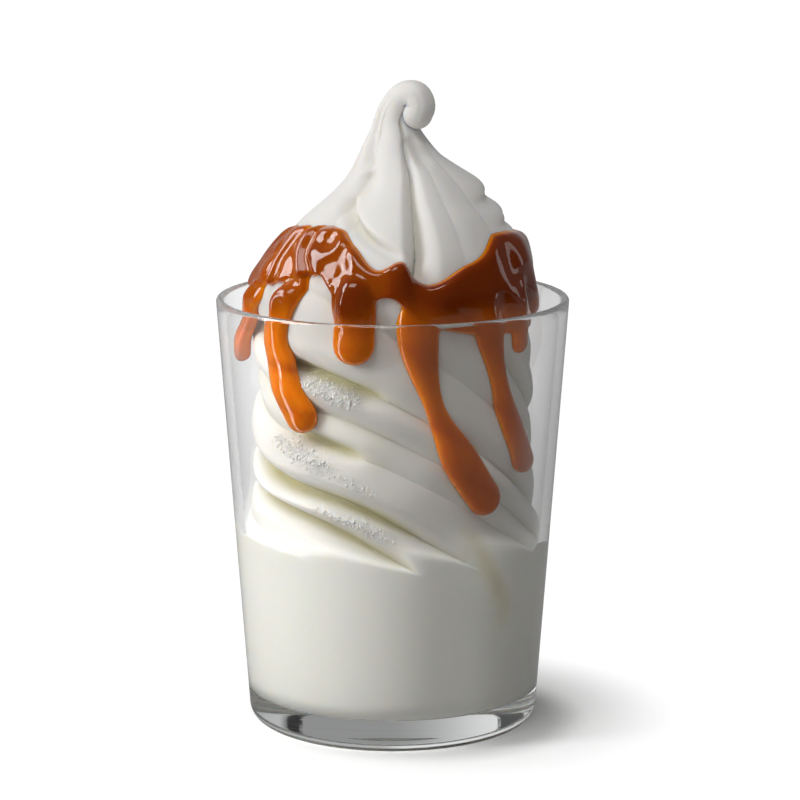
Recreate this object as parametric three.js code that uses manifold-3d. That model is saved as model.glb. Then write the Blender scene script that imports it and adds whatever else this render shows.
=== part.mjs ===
// Ice cream sundae in a plain tumbler: a soft-serve swirl with a curled peak, under a poured caramel sauce.
// Millimetres, +Z up, origin at the centre of the glass's foot, front at -Y.
import * as THREE from "three";
import { mergeVertices } from "three/addons/utils/BufferGeometryUtils.js";
import Module from "manifold-3d";

const wasm = await Module();
wasm.setup();

const TAU = 2 * Math.PI;
const GAP = 0.3; // clearance between neighbouring bodies

// The tumbler.
const RIM_R = 41;
const GLASS_H = 100.6;
const FOOT_R = 33.6; // the wall's outer line carried down to the table
const FOOT_CORNER = 3.9;
const LIP_R = 0.95;
const WALL_RIM = 1.9;
const WALL_FOOT = 2.5;
const FLOOR_Z = 8.4;
const FLOOR_FILLET = 5;
const GLASS_SEGMENTS = 68;

// The swirl's crest line: the radius its flutes reach at each height.
const CREST = [
  [39.3, 40.0], [45.3, 36.0], [51, 33.9], [58, 33.3], [82, 32.6], [101, 32.3], [107, 31.2], [112.5, 28.7],
  [117, 25.8], [121, 22.4], [125, 18.2], [129, 14.1], [133, 10.2], [137, 7.4], [141, 5.0], [145, 3.2],
];
// How far the swirl's middle leans along X at each height.
const LEAN = [
  [95, 0], [107, 0.8], [113, 2.2], [118, 2.9], [123, 3.9], [127, 4.2], [130, 3.4], [133, 1.9], [136, 1.0],
  [140, 0.6], [145, 1.4],
];
// Flutes across one full turn of the nozzle's star: phase, depth below the crest line. Creases and crowns
// alternate.
const STAR_TURN = 3;
const STAR = [
  [0.02, 2.8], [0.18, 0.0], [0.35, 0.9], [0.5, 0.3], [0.68, 5.0], [0.85, 0.4], [0.98, 6.4], [1.2, 0.0],
  [1.47, 2.4], [1.6, 1.4], [1.74, 2.8], [1.92, 0.0], [2.05, 3.4], [2.28, 0.0], [2.56, 2.2], [2.76, 0.4],
];
// The flutes of the peak, round the axis: angle in turns from -X, depth at the shoulder. Creases and crowns
// alternate.
const PEAK = [
  [0.125, 2.6], [0.247, 0.0], [0.27, 5.2], [0.305, 0.4], [0.335, 1.0], [0.36, 0.4], [0.4, 1.2], [0.44, 0.0],
  [0.51, 2.0], [0.59, 0.0], [0.66, 3.0], [0.73, 0.0], [0.79, 2.4], [0.86, 0.0], [0.94, 2.2], [1.06, 0.0],
];
// How far the peak's flutes are turned, in degrees, at each height.
const PEAK_TURN = [[108, 0], [118, -2], [127, -8], [131, -4], [135, 4], [141, 14]];
// Where the swirl's flutes give way to the peak's, under the sauce.
const PEAK_FROM = 103;
const PEAK_TO = 111;
// How sharply a crease opens upward and downward: the flank above it is the steadier slope.
const UNDER = 1;
const OVER = 0.62;
const LEAD = 12.2; // mm of climb per radian
const TILT = 10; // the flutes run steeper down the right-hand side
const TILT_AT = -0.4;
const TWIST_TOP = 106.3; // above this the flutes run straight up the peak
const TWIST_EASE = 9;
// At the left the flutes sag: middle and reach in degrees, drop, and the heights over which it comes in.
const SAG = { at: -145, reach: 34, drop: 3.8, low: 50, high: 62 };
// At the lower right they soften, by a share.
const CALM = { at: -64, reach: 28, share: 0.62 };
// Rounded grooves pressed into the swirl, as degrees and height: where the last coil goes in under the peak,
// the pocket and the furrow beside the peak's middle ridge, the lip below them, the dip above the right-hand
// lobe, the notch at the right, and two short creases at the left.
const GROOVES = [
  { from: [-141, 124.3], to: [-92, 114.6], depth: 2.8, width: 1.6 },
  { from: [-137, 130.5], to: [-131, 125.5], depth: 2.8, width: 2.2 },
  { from: [-148, 140], to: [-137, 131], depth: 1.5, width: 1.6 },
  { from: [-140, 120.5], to: [-124, 120], depth: -1, width: 2.4 },
  { from: [-70, 138], to: [-52, 132], depth: 1.5, width: 2.2 },
  { from: [-40, 123.5], to: [15, 123.5], depth: 1.3, width: 1.6 },
  { from: [-134, 88.8], to: [-101, 83.2], depth: 2.2, width: 1.7 },
  { from: [-134, 73.4], to: [-108, 69.8], depth: 2.4, width: 1.7 },
];
const BODY_TOP = 143.5;
const BODY_SEGMENTS = 60;
const BODY_RING = 2.5;
const BODY_FINE = 0.06; // facets closer to flat than this are joined
const COLUMN_TILT = 4; // the facets' columns lean with the flutes
const FREE_Z = 41; // the swirl stands free above this
const WALL_BLEND = 0.8;

// The curled tip: x, y, z and radius along its rope.
const TIP = [
  [0.5, 0, 137, 4.2], [0.8, 0, 141.5, 3.9], [2.1, -0.5, 145, 3.5], [4.4, -1.5, 147.1, 3.4],
  [6.2, -2.4, 145.9, 3.5], [6.4, -2.7, 143.7, 3.5],
];

// The sauce: its upper and lower edge round the shoulder, angle in degrees from +X and height.
const SAUCE_TOP = [
  [-190, 116], [-167, 118.3], [-130, 119], [-115, 116], [-100, 111.2], [-90, 113.2], [-82, 109], [-75, 108],
  [-62, 111.4], [-50, 113.8], [-38, 117.6], [-10, 117.2], [25, 115], [60, 116.5], [95, 114], [130, 117],
];
const SAUCE_FOOT = [
  [-171, 102.7], [-150, 104], [-125, 107], [-109, 101.3], [-92, 105], [-78, 99], [-62, 96.3], [-32, 94.5],
  [-10, 94.5], [20, 99], [55, 97], [90, 101.5], [120, 97.5], [155, 101.5],
];
const SAUCE_THICK = 1.5;
const SAUCE_FILLS = 0.55; // the share of each crease's depth the sauce levels out
// Runs down the swirl: start and end (degrees, height), bow in degrees, power of the lean, half-widths in
// mm, and how far the foot stands off.
const RUNS = [
  { from: [-156, 108], to: [-178, 88.2], bow: 2, power: 1.3, top: 3.6, neck: 2.9, bulb: 2.9, lift: 2.2 },
  { from: [-131, 112], to: [-129, 77.6], bow: -9, power: 1, top: 4.4, neck: 3.3, bulb: 4.1, lift: 0.4 },
  { from: [-113, 113], to: [-105, 95], bow: 2, power: 1, top: 4.2, neck: 5.2, bulb: 4.8, lift: 0.4 },
  { from: [-81, 107], to: [-52, 58.8], bow: 0, power: 2.2, top: 4.8, neck: 2.3, bulb: 4.3, lift: 0 },
  { from: [-51, 109], to: [-29, 65.6], bow: 1, power: 2, top: 4.2, neck: 2.4, bulb: 3.3, lift: 0.3 },
  { from: [-25, 111], to: [-30, 93], bow: 0, power: 1, top: 3.6, neck: 2.9, bulb: 2.8, lift: 0.3 },
  { from: [50, 107], to: [60, 80], bow: 0, power: 1.6, top: 4.6, neck: 2.7, bulb: 3.8, lift: 0.3 },
  { from: [122, 108], to: [132, 86], bow: 2, power: 1.8, top: 4.4, neck: 2.8, bulb: 3.4, lift: 0.3 },
];
const SAUCE_FINE = 0.16;
const RUN_RINGS = 9;
const RUN_SIDES = 9;
const RUN_RISE = 0.66; // height over half-width
const RUN_SINK = 3; // each run starts this far under the band's face
const GLASS_CLEAR = 0.6; // the runs stay this far off the wall

const radians = THREE.MathUtils.degToRad;
const clamp = THREE.MathUtils.clamp;
const lerp = THREE.MathUtils.lerp;

// A smooth curve through [x, y] knots, held at the ends, or carried round when it has a period.
function curveThrough(knots, period = 0) {
  const all = period
    ? [-1, 0, 1].flatMap((turn) => knots.map(([x, y]) => [x + turn * period, y]))
    : knots;
  const slope = all.map((_, i) => {
    const a = all[Math.max(i - 1, 0)];
    const b = all[Math.min(i + 1, all.length - 1)];
    return (b[1] - a[1]) / (b[0] - a[0]);
  });
  return (x) => {
    const at = clamp(x, all[0][0], all[all.length - 1][0]);
    let i = 0;
    while (i < all.length - 2 && at > all[i + 1][0]) i += 1;
    const step = all[i + 1][0] - all[i][0];
    const t = (at - all[i][0]) / step;
    const s = t * t * (3 - 2 * t);
    const bend = slope[i] * t * (1 - t) ** 2 - slope[i + 1] * t * t * (1 - t);
    return lerp(all[i][1], all[i + 1][1], s) + step * bend;
  };
}

function smoothMin(a, b, reach) {
  const h = clamp(0.5 + (0.5 * (b - a)) / reach, 0, 1);
  return lerp(b, a, h) - reach * h * (1 - h);
}

const crestAt = curveThrough(CREST);
const leanAt = curveThrough(LEAN);
const peakTurnAt = curveThrough(PEAK_TURN);
const sauceTopAt = curveThrough(SAUCE_TOP, 360);
const sauceFootAt = curveThrough(SAUCE_FOOT, 360);

const outerWall = (z) => FOOT_R + ((RIM_R - FOOT_R) * z) / GLASS_H;

function innerWall(z) {
  const straight = outerWall(z) - lerp(WALL_FOOT, WALL_RIM, z / GLASS_H);
  const below = clamp(FLOOR_Z + FLOOR_FILLET - z, 0, FLOOR_FILLET);
  return straight - FLOOR_FILLET + Math.sqrt(FLOOR_FILLET ** 2 - below ** 2);
}

// The flutes' depth at a phase: each side of a crease rises fast and rounds over at the crown.
function fluteDepth(star, turn, phase) {
  const p = THREE.MathUtils.euclideanModulo(phase - star[0][0], turn) + star[0][0];
  let i = 0;
  while (i < star.length - 1 && p >= star[i + 1][0]) i += 1;
  const a = star[i];
  const b = i + 1 < star.length ? star[i + 1] : [star[0][0] + turn, star[0][1]];
  const t = (p - a[0]) / (b[0] - a[0]);
  const fromCrease = i % 2 === 0;
  const rise = Math.sin(((fromCrease ? t : 1 - t) * Math.PI) / 2) ** (fromCrease ? UNDER : OVER);
  return fromCrease ? lerp(a[1], b[1], rise) : lerp(b[1], a[1], rise);
}

const climbAt = (z) => TWIST_TOP - TWIST_EASE * Math.log1p(Math.exp((TWIST_TOP - z) / TWIST_EASE));

// The angle a column of facets has reached at a height.
function columnAngle(start, z) {
  const target = LEAD * start - climbAt(Math.max(z, FREE_Z));
  let angle = target / LEAD;
  for (let i = 0; i < 12; i += 1) {
    const slope = LEAD + COLUMN_TILT * Math.cos(angle - TILT_AT);
    angle -= (LEAD * angle + COLUMN_TILT * Math.sin(angle - TILT_AT) - target) / slope;
  }
  return angle;
}

// The signed turn in radians from a place in degrees, within half a turn either way.
const turnFrom = (degrees, angle) =>
  THREE.MathUtils.euclideanModulo(angle - radians(degrees) + Math.PI, TAU) - Math.PI;

// A bell over the angle: 1 at its middle, fading over its reach.
const bell = ({ at, reach }, angle) => Math.exp(-((turnFrom(at, angle) / radians(reach)) ** 2));

function flutePhase(angle, z) {
  const sag = SAG.drop * bell(SAG, angle) * THREE.MathUtils.smoothstep(z, SAG.low, SAG.high);
  const climbed = climbAt(z) + LEAD * angle + TILT * Math.sin(angle - TILT_AT) + sag;
  return (climbed * STAR_TURN) / (TAU * LEAD);
}

// The swirl's own radius, its creases filled by a share.
function swirlRadius(angle, z, filled = 0) {
  const crest = crestAt(z);
  const calmed = clamp((crest - 2) / 26, 0.1, 1) * (1 - CALM.share * bell(CALM, angle));
  const swirl = calmed * fluteDepth(STAR, STAR_TURN, flutePhase(angle, z));
  const across = (angle - radians(peakTurnAt(z))) / TAU + 0.5;
  const peak = clamp(crest / 22, 0.2, 1) * fluteDepth(PEAK, 1, across);
  const depth = lerp(swirl, peak, THREE.MathUtils.smoothstep(z, PEAK_FROM, PEAK_TO));
  const pressed = GROOVES.reduce((sum, groove) => sum + grooveDepth(groove, angle, z), 0);
  return crest - (1 - filled) * depth - pressed;
}

const bodyRadius = (angle, z) => smoothMin(swirlRadius(angle, z), innerWall(z) - GAP, WALL_BLEND);

// How deep a groove is at a place.
function grooveDepth({ from, to, depth, width }, angle, z) {
  const round = crestAt((from[1] + to[1]) / 2);
  const reach = to[1] - from[1];
  const run = radians(to[0] - from[0]) * round;
  const across = turnFrom(from[0], angle) * round;
  const up = z - from[1];
  const t = clamp((across * run + up * reach) / (run * run + reach * reach), 0, 1);
  const off = Math.hypot(across - t * run, up - t * reach);
  return depth * Math.exp(-((off / width) ** 2));
}

const aroundAxis = (angle, radius, z) =>
  new THREE.Vector3(radius * Math.cos(angle) + leanAt(z), radius * Math.sin(angle), z);

function toSolid(geometry) {
  const bare = geometry.clone();
  bare.deleteAttribute("normal");
  bare.deleteAttribute("uv");
  const merged = mergeVertices(bare, 1e-4);
  return new wasm.Manifold(
    new wasm.Mesh({
      numProp: 3,
      vertProperties: merged.attributes.position.array,
      triVerts: new Uint32Array(merged.index.array),
    }),
  );
}

function toGeometry(solid) {
  const mesh = solid.getMesh();
  const geometry = new THREE.BufferGeometry();
  geometry.setAttribute("position", new THREE.BufferAttribute(mesh.vertProperties, 3));
  geometry.setIndex(new THREE.BufferAttribute(mesh.triVerts, 1));
  geometry.computeVertexNormals();
  return geometry;
}

// A closed skin over rings of equal length; both ends shut at a pole, or the last ring joined to the first.
// Creased skins split each patch along the diagonal nearer the axis, so that the creases stay unbroken.
function skin(rings, poles, creased = false) {
  const inset = (...at) => at.reduce((sum, i) => sum + Math.hypot(points[i].x, points[i].y), 0);
  const sides = rings[0].length;
  const points = rings.flat();
  const index = [];
  const rows = poles ? rings.length - 1 : rings.length;
  for (let i = 0; i < rows; i += 1) {
    for (let j = 0; j < sides; j += 1) {
      const a = i * sides + j;
      const b = i * sides + ((j + 1) % sides);
      const up = (((i + 1) % rings.length) - i) * sides;
      if (creased && inset(b, a + up) < inset(a, b + up)) index.push(a, b, a + up, b, b + up, a + up);
      else index.push(a, b, b + up, a, b + up, a + up);
    }
  }
  if (poles) {
    const last = (rings.length - 1) * sides;
    points.push(poles[0], poles[1]);
    for (let j = 0; j < sides; j += 1) {
      const next = (j + 1) % sides;
      index.push(next, j, points.length - 2, last + j, last + next, points.length - 1);
    }
  }
  const geometry = new THREE.BufferGeometry().setFromPoints(points);
  geometry.setIndex(index);
  return geometry;
}

function makeGlass() {
  const profile = [new THREE.Vector2(0, 0)];
  const steepest = Math.atan2(GLASS_H, RIM_R - FOOT_R);
  const cornerR = outerWall(FOOT_CORNER) - FOOT_CORNER / Math.sin(steepest);
  for (let i = 0; i <= 4; i += 1) {
    const turn = -Math.PI / 2 + (i / 4) * steepest;
    profile.push(
      new THREE.Vector2(cornerR + FOOT_CORNER * Math.cos(turn), FOOT_CORNER * (1 + Math.sin(turn))),
    );
  }
  const lipZ = GLASS_H - LIP_R;
  const lipX = outerWall(lipZ) - LIP_R;
  for (let i = 0; i <= 5; i += 1) {
    const turn = (i / 5) * Math.PI;
    profile.push(new THREE.Vector2(lipX + LIP_R * Math.cos(turn), lipZ + LIP_R * Math.sin(turn)));
  }
  for (let i = 0; i <= 4; i += 1) {
    const z = FLOOR_Z + FLOOR_FILLET * (1 - Math.sin((i / 4) * 0.5 * Math.PI));
    profile.push(new THREE.Vector2(innerWall(z), z));
  }
  profile.push(new THREE.Vector2(0, FLOOR_Z));
  return new THREE.LatheGeometry(profile, GLASS_SEGMENTS).rotateX(Math.PI / 2);
}

// The poured body: it fills the glass, then stands free as the fluted swirl. Grown outwards by an offset.
function bodySkin(offset) {
  const heights = [FLOOR_Z + GAP + 0.05, FLOOR_Z + GAP + 0.7, FLOOR_Z + 2.2, FLOOR_Z + 4.6, 24, 36];
  for (let z = FREE_Z; z <= BODY_TOP; z += BODY_RING) heights.push(z);
  const rings = heights.map((z) =>
    Array.from({ length: BODY_SEGMENTS }, (_, j) => {
      const angle = columnAngle((j / BODY_SEGMENTS) * TAU, z);
      return aroundAxis(angle, bodyRadius(angle, z) + offset, z);
    }),
  );
  const top = heights[heights.length - 1];
  const poles = [new THREE.Vector3(0, 0, heights[0]), new THREE.Vector3(leanAt(top), 0, top + 0.4)];
  return skin(rings, poles, true);
}

// A round rope along a curve through [x, y, z, radius] knots, its ends domed.
function rope(knots, rings, sides) {
  const path = new THREE.CatmullRomCurve3(knots.map(([x, y, z]) => new THREE.Vector3(x, y, z)));
  const frames = path.computeFrenetFrames(rings, false);
  const radii = curveThrough(knots.map((knot, i) => [i / (knots.length - 1), knot[3]]));
  const loops = frames.tangents.map((_, i) => {
    const t = i / rings;
    const centre = path.getPoint(t);
    return Array.from({ length: sides }, (_, j) => {
      const turn = (j / sides) * TAU;
      return centre
        .clone()
        .addScaledVector(frames.normals[i], radii(t) * Math.cos(turn))
        .addScaledVector(frames.binormals[i], radii(t) * Math.sin(turn));
    });
  });
  const ends = [0, 1].map((t) => path.getPoint(t));
  const domes = [0.62, 0.94].map((part) => {
    const reach = radii(1) * part;
    const share = Math.sqrt(1 - part ** 2);
    return loops[rings].map((p) =>
      ends[1].clone().lerp(p, share).addScaledVector(frames.tangents[rings], reach),
    );
  });
  const pole = ends[1].clone().addScaledVector(frames.tangents[rings], radii(1));
  return skin([...loops, ...domes], [ends[0], pole]);
}

function makeIceCream() {
  const bend = TIP.length - 3;
  const riser = toSolid(rope(TIP.slice(0, bend + 1), 6, 14));
  const curl = toSolid(rope(TIP.slice(bend), 4, 14));
  return toSolid(bodySkin(0)).add(riser).add(curl).simplify(BODY_FINE);
}

const coverRadius = (angle, z) => Math.min(swirlRadius(angle, z, SAUCE_FILLS), innerWall(z) - 3);

// The sauce lying round the shoulder: a cushion section carried once round, its inner side sunk into the
// swirl.
function sauceBand() {
  const section = [
    [0, -1.2], [0.05, 0.3], [0.26, 1], [0.7, 1], [0.94, 0.4], [1, -1.2],
  ];
  const loops = Array.from({ length: BODY_SEGMENTS }, (_, j) => {
    const degrees = (j * 360) / BODY_SEGMENTS;
    const top = sauceTopAt(degrees);
    const foot = sauceFootAt(degrees);
    const angle = radians(degrees);
    const outside = section.map(([t, rise]) => {
      const z = lerp(foot, top, t);
      return aroundAxis(angle, coverRadius(angle, z) + rise * SAUCE_THICK, z);
    });
    const inside = [0.8, 0.2].map((t) => {
      const z = lerp(foot, top, t);
      return aroundAxis(angle, coverRadius(angle, z) - 5, z);
    });
    return [...outside, ...inside].reverse();
  });
  return toSolid(skin(loops));
}

const runWidth = (run) =>
  curveThrough([[0, run.top * 0.7], [0.2, run.top], [0.55, run.neck], [0.8, run.bulb], [1, run.bulb]]);

// One run of sauce: a flattened rope over the swirl's flank, its foot rounded.
function sauceRun(run) {
  const steps = Array.from({ length: RUN_RINGS }, (_, i) => i / (RUN_RINGS - 1));
  const domes = [0.45, 0.8, 0.96];
  const at = (t) => {
    const degrees = lerp(run.from[0], run.to[0], t ** run.power) + run.bow * Math.sin(Math.PI * t);
    const z = lerp(run.from[1], run.to[1], t);
    const lift = run.lift * t - RUN_SINK * (1 - THREE.MathUtils.smoothstep(t, 0, 0.3));
    return aroundAxis(radians(degrees), coverRadius(radians(degrees), z) + lift, z);
  };
  const width = runWidth(run);
  const ring = (centre, along, half) => {
    const out = new THREE.Vector3(centre.x, centre.y, 0).normalize();
    const side = out.clone().cross(along).normalize();
    return Array.from({ length: RUN_SIDES }, (_, j) => {
      const turn = (j / RUN_SIDES) * TAU;
      const rise = Math.sin(turn) * (Math.sin(turn) > 0 ? half * RUN_RISE : Math.min(half, 2.4));
      const point = centre
        .clone()
        .addScaledVector(side, Math.cos(turn) * half)
        .addScaledVector(out, rise);
      const most = innerWall(Math.min(point.z, GLASS_H)) - GLASS_CLEAR;
      const flat = Math.hypot(point.x, point.y);
      if (point.z < GLASS_H + 2 && flat > most) {
        point.x *= most / flat;
        point.y *= most / flat;
      }
      return point;
    });
  };
  const path = steps.map(at);
  const tangents = steps.map((t) => at(Math.min(t + 0.02, 1)).sub(at(Math.max(t - 0.02, 0))).normalize());
  const loops = path.map((centre, i) => ring(centre, tangents[i], width(steps[i])));
  const end = path[path.length - 1];
  const along = tangents[tangents.length - 1];
  const foot = domes.map((part) =>
    ring(
      end.clone().addScaledVector(along, part * run.bulb),
      along,
      run.bulb * Math.sqrt(1 - part ** 2),
    ),
  );
  const pole = end.clone().addScaledVector(along, run.bulb);
  return toSolid(skin([...loops, ...foot], [path[0], pole]));
}

function makeSauce(iceCreamGrown) {
  const poured = RUNS.reduce((sum, run) => sum.add(sauceRun(run)), sauceBand());
  const bodies = poured.subtract(iceCreamGrown).simplify(SAUCE_FINE).decompose();
  return bodies.reduce((most, body) => (body.volume() > most.volume() ? body : most));
}

function addMesh(parent, name, geometry, material) {
  const mesh = new THREE.Mesh(geometry, new THREE.MeshStandardMaterial(material));
  mesh.name = name;
  parent.add(mesh);
}

const sundae = new THREE.Group();
addMesh(sundae, "glass_tumbler", makeGlass(), {
  color: 0xdfe8ea,
  roughness: 0.03,
  metalness: 0,
  transparent: true,
  opacity: 0.25,
});
addMesh(sundae, "ice_cream", toGeometry(makeIceCream()), {
  color: 0xf7f3ea,
  roughness: 0.55,
  metalness: 0,
});
addMesh(sundae, "caramel_sauce", toGeometry(makeSauce(toSolid(bodySkin(GAP)))), {
  color: 0xb4560c,
  roughness: 0.12,
  metalness: 0,
});

export default sundae;
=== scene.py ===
"""Dresses the ice cream sundae: clear tumbler, twisted soft-serve with a curled peak, poured caramel sauce.

Sizes of the pieces are millimetres and degrees. Meshes are written in metres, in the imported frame's axes.
"""

import sys

import logging
import math
from dataclasses import dataclass, field
from enum import Enum

import bmesh
import bpy
import numpy as np
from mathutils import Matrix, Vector, noise

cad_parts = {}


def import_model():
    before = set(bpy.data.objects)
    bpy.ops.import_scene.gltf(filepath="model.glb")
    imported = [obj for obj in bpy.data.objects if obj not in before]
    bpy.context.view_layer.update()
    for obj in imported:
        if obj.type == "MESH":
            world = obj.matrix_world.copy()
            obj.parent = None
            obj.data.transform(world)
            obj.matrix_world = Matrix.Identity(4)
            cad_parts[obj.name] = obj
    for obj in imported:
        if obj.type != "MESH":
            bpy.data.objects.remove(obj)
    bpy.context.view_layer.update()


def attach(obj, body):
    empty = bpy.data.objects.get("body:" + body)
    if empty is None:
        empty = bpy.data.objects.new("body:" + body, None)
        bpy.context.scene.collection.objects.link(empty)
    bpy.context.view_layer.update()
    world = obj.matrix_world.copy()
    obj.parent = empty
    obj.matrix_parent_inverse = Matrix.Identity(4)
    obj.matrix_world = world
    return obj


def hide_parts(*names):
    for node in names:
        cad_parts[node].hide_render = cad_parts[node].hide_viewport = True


log = logging.getLogger("sundae")

MM = 0.001
TAU = 2.0 * math.pi
Knots = tuple[tuple[float, float], ...]


def smoothstep(x: np.ndarray | float, low: float, high: float) -> np.ndarray:
    """Rises smoothly from 0 at low to 1 at high."""
    t = np.clip((np.asarray(x, float) - low) / (high - low), 0.0, 1.0)
    return t * t * (3.0 - 2.0 * t)


def smooth_min(a: np.ndarray, b: np.ndarray, reach: float) -> np.ndarray:
    """The lower of two surfaces, rounded over a reach where they meet."""
    h = np.clip(0.5 + 0.5 * (b - a) / reach, 0.0, 1.0)
    return b + (a - b) * h - reach * h * (1.0 - h)


def turned(angle: np.ndarray, centre: float) -> np.ndarray:
    """The signed turn from a centre angle, in radians, within half a turn either way."""
    return np.mod(angle - centre + math.pi, TAU) - math.pi


def beside(angle: np.ndarray, centre: float, reach: float) -> np.ndarray:
    """How near an angle in radians is to a centre, from 0 to 1, falling off over a reach, both in degrees."""
    return np.exp(-((np.degrees(turned(angle, math.radians(centre))) / reach) ** 2))


class Curve:
    """A smooth curve through knots, held at its ends or carried round when it has a period."""

    def __init__(self, knots: Knots, period: float = 0.0) -> None:
        """Works out the slope at each knot.

        Args:
            knots: Places and values, in order.
            period: The length after which the curve repeats, or 0 where it doesn't.
        """
        turns = (-1, 0, 1) if period else (0,)
        points = np.array([(x + turn * period, y) for turn in turns for x, y in knots], float)
        self.x, self.y = points[:, 0], points[:, 1]
        self.slope = np.empty_like(self.y)
        self.slope[1:-1] = (self.y[2:] - self.y[:-2]) / (self.x[2:] - self.x[:-2])
        self.slope[0] = (self.y[1] - self.y[0]) / (self.x[1] - self.x[0])
        self.slope[-1] = (self.y[-1] - self.y[-2]) / (self.x[-1] - self.x[-2])

    def __call__(self, x: np.ndarray | float) -> np.ndarray:
        """Reads the curve.

        Args:
            x: Where to read it.

        Returns:
            The value at each place.
        """
        at = np.clip(np.asarray(x, float), self.x[0], self.x[-1])
        i = np.clip(np.searchsorted(self.x, at, side="right") - 1, 0, len(self.x) - 2)
        step = self.x[i + 1] - self.x[i]
        t = (at - self.x[i]) / step
        s = t * t * (3.0 - 2.0 * t)
        bend = self.slope[i] * t * (1.0 - t) ** 2 - self.slope[i + 1] * t * t * (1.0 - t)
        return self.y[i] + (self.y[i + 1] - self.y[i]) * s + step * bend


@dataclass(frozen=True)
class TumblerSizes:
    """The glass, in millimetres."""

    rim_r: float = 41.0
    height: float = 100.6
    foot_r: float = 33.6
    foot_corner: float = 3.9
    lip_r: float = 0.95
    wall_rim: float = 1.9
    wall_foot: float = 2.5
    floor_z: float = 7.4
    floor_fillet: float = 3.4
    # The underside's hollow: its depth and its radius.
    hollow: float = 0.25
    hollow_r: float = 29.6
    # Where the straight wall starts, and how far below the lip's middle it ends.
    wall_low: float = 8.0
    below_lip: float = 2.0
    segments: int = 220

    def outer(self, z: np.ndarray | float) -> np.ndarray:
        """The outer wall's radius at a height."""
        return self.foot_r + (self.rim_r - self.foot_r) * np.asarray(z, float) / self.height

    def inner(self, z: np.ndarray | float) -> np.ndarray:
        """The inner wall's radius at a height, with the fillet at the floor.

        Args:
            z: The height.

        Returns:
            The radius there.
        """
        z = np.asarray(z, float)
        straight = self.outer(z) - (self.wall_foot + (self.wall_rim - self.wall_foot) * z / self.height)
        below = np.clip(self.floor_z + self.floor_fillet - z, 0.0, self.floor_fillet)
        return straight - self.floor_fillet + np.sqrt(self.floor_fillet**2 - below**2)


@dataclass(frozen=True)
class Groove:
    """A rounded groove in the swirl, or a ridge if its depth is below 0. Its ends are (degrees, height)."""

    start: tuple[float, float]
    end: tuple[float, float]
    depth: float
    width: float


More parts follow.
